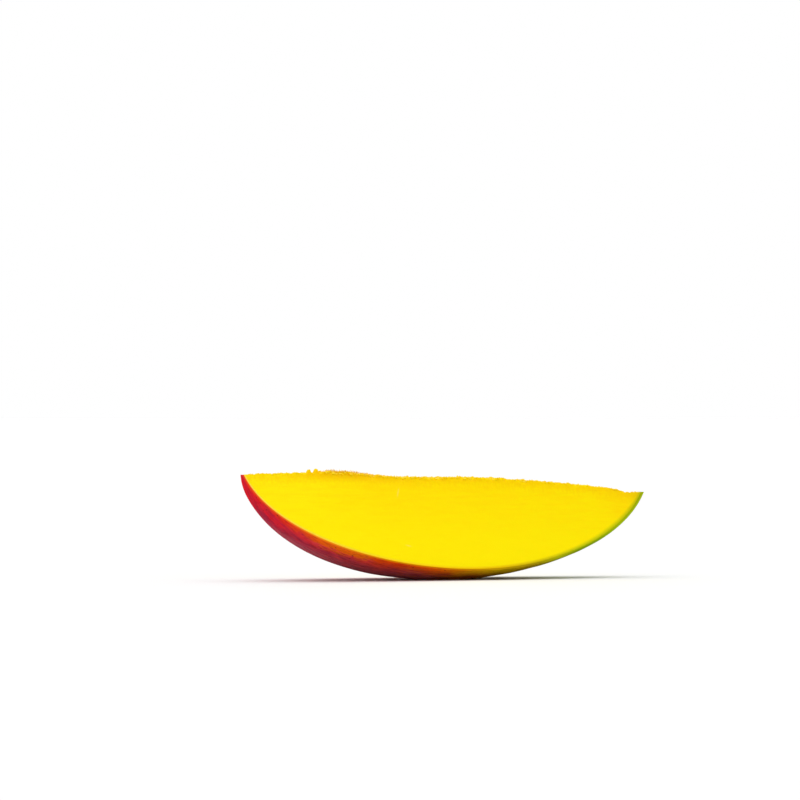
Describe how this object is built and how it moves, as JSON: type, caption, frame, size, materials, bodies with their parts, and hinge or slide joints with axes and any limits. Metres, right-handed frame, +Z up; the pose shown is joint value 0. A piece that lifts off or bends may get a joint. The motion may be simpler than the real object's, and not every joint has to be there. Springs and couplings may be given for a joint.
{
  "type": "mango slice",
  "caption": "Wedge of fresh mango cut lengthwise with its peel on: red to green peel below, yellow cut faces and a narrow rough top edge.",
  "frame": {"origin": "centre of the bounding box at its base, on the surface that the slice lies on", "axes": "+Z up; +X along the slice, from the stem end of the fruit to its far end; -Y towards the shown cut face"},
  "size_m": [0.1228, 0.0312, 0.0308],
  "materials": {
    "flesh": "moist satin",
    "peel": "waxy satin"
  },
  "bodies": {
    "root": {"mango_slice": "flesh"}
  },
  "joints": []
}
